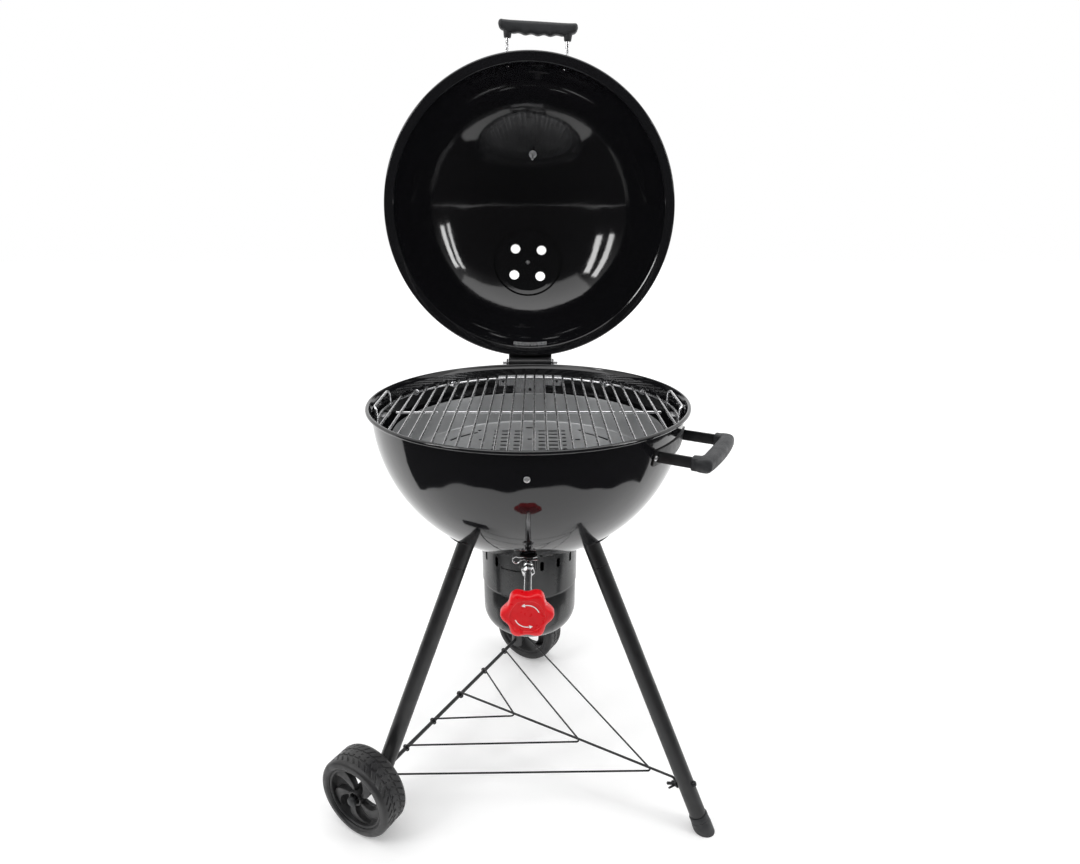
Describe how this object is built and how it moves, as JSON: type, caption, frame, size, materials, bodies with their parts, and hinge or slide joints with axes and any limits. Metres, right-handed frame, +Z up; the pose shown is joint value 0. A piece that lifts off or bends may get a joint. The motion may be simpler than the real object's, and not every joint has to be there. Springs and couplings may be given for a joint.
{
  "type": "kettle charcoal grill",
  "caption": "Round kettle charcoal grill on a tripod with wheels, its domed lid swung open on a rear hinge, with a hinged wire grate, knob-lifted pan and ash bucket.",
  "frame": {"origin": "on the floor, under the middle of the bounding box with the lid open", "axes": "+Z up, -Y is the front with the red knob, +X to the right seen from the front; the lid's hinge axis is along X"},
  "size_m": [0.7388, 0.8778, 1.4671],
  "materials": {
    "enamel": "gloss black porcelain enamel",
    "black_powder": "satin black powder coat",
    "black_plastic": "textured charcoal black plastic",
    "red_plastic": "saturated red plastic",
    "bright_chrome": "polished plated wire and rod",
    "plain_steel": "plain and galvanised steel",
    "ash_steel": "semi-gloss dark grey coating"
  },
  "bodies": {
    "base": {"bowl": "enamel", "grate_shelf_front": "plain_steel", "grate_shelf_left": "plain_steel", "grate_shelf_right": "plain_steel", "shelf_screw_front": "plain_steel", "shelf_screw_left": "plain_steel", "shelf_screw_right": "plain_steel", "hinge_bowl_bracket": "black_powder", "hinge_inner_plate": "plain_steel", "hinge_pin": "bright_chrome", "side_handle_bracket": "black_powder", "side_handle_grip": "black_plastic", "side_handle_screw_front": "plain_steel", "side_handle_screw_rear": "plain_steel", "leg_socket_right": "black_powder", "leg_socket_left": "black_powder", "leg_socket_rear": "black_powder", "leg_right": "black_powder", "leg_left": "black_powder", "leg_rear": "black_powder", "foot_cap": "black_plastic", "axle": "black_powder", "axle_cap_left": "black_plastic", "axle_cap_rear": "black_plastic", "rack_main_wire": "black_powder", "rack_wire_short": "black_powder", "rack_wire_middle": "black_powder", "rack_wire_long": "black_powder", "rack_bolt": "plain_steel", "rack_wing_nut": "plain_steel", "ash_collar": "ash_steel", "shaft_bushing": "bright_chrome", "bushing_seat": "black_powder", "r_clip": "bright_chrome", "lift_bridge": "plain_steel"},
    "left_wheel": {"tyre_left": "black_plastic", "wheel_left": "black_plastic"},
    "rear_wheel": {"tyre_rear": "black_plastic", "wheel_rear": "black_plastic"},
    "lid_assembly": {"lid": "enamel", "lid_handle_post_left": "bright_chrome", "lid_handle_post_right": "bright_chrome", "lid_handle_grip": "black_plastic", "hinge_lid_bracket": "black_powder", "hinge_lid_inner_plate": "plain_steel", "thermometer_case": "bright_chrome", "thermometer_nut": "plain_steel", "vent_rivet": "plain_steel"},
    "lid_vent": {"vent_damper": "bright_chrome"},
    "needle": {"thermometer_needle": "red_plastic"},
    "pan": {"charcoal_pan": "plain_steel", "lift_rack": "plain_steel"},
    "height_knob": {"knob": "red_plastic", "lift_shaft": "bright_chrome", "lift_pinion": "plain_steel"},
    "grate": {"grate_centre": "bright_chrome"},
    "flap_left": {"grate_flap_left": "bright_chrome"},
    "flap_right": {"grate_flap_right": "bright_chrome"},
    "ash_air_ring": {"ash_damper": "ash_steel"},
    "bucket": {"ash_bucket": "ash_steel"}
  },
  "joints": [
    {"name": "lid_hinge", "type": "hinge", "parent": "base", "child": "lid_assembly", "pos_m": [0.02163, 0.2141, 0.785], "axis": [1, 0, 0], "range_deg": [0, 90]},
    {"name": "left_wheel_spin", "type": "hinge", "parent": "base", "child": "left_wheel", "pos_m": [-0.28816, -0.27607, 0.08], "axis": [0.5, 0.866, 0], "continuous": true},
    {"name": "rear_wheel_spin", "type": "hinge", "parent": "base", "child": "rear_wheel", "pos_m": [0.01584, 0.25047, 0.08], "axis": [0.5, 0.866, 0], "continuous": true},
    {"name": "vent_turn", "type": "hinge", "parent": "lid_assembly", "child": "lid_vent", "pos_m": [0.01564, 0.40403, 0.98875], "axis": [-0.0161, 0.9513, -0.3077], "range_deg": [0, 45]},
    {"name": "needle_turn", "type": "hinge", "parent": "lid_assembly", "child": "needle", "pos_m": [0.02868, 0.42499, 1.23746], "axis": [0.0179, 0.9399, 0.3411], "range_deg": [-240, 0]},
    {"name": "knob_turn", "type": "hinge", "parent": "base", "child": "height_knob", "pos_m": [0.02163, -0.4239, 0.557], "axis": [0, 1, 0], "range_deg": [-100, 100]},
    {"name": "pan_lift", "type": "slide", "parent": "base", "child": "pan", "axis": [0, 0, 1], "range_m": [-0.0209, 0.0209]},
    {"name": "grate_lift_off", "type": "slide", "parent": "base", "child": "grate", "axis": [0, 0, 1], "range_m": [0, 0.06]},
    {"name": "flap_left_turn", "type": "hinge", "parent": "grate", "child": "flap_left", "pos_m": [-0.13677, -0.1039, 0.763], "axis": [0, 1, 0], "range_deg": [0, 100]},
    {"name": "flap_right_turn", "type": "hinge", "parent": "grate", "child": "flap_right", "pos_m": [0.18003, -0.1039, 0.763], "axis": [0, -1, 0], "range_deg": [0, 100]},
    {"name": "ash_air_turn", "type": "hinge", "parent": "base", "child": "ash_air_ring", "pos_m": [0.02163, -0.1039, 0.495], "axis": [0, 0, 1], "range_deg": [-34, 0]},
    {"name": "ash_bucket_off", "type": "slide", "parent": "base", "child": "bucket", "axis": [0, 0, -1], "range_m": [0, 0.1]}
  ],
  "couplings": [
    {"joint": "knob_turn", "follows": "pan_lift", "rad_per_m": -83.333}
  ]
}
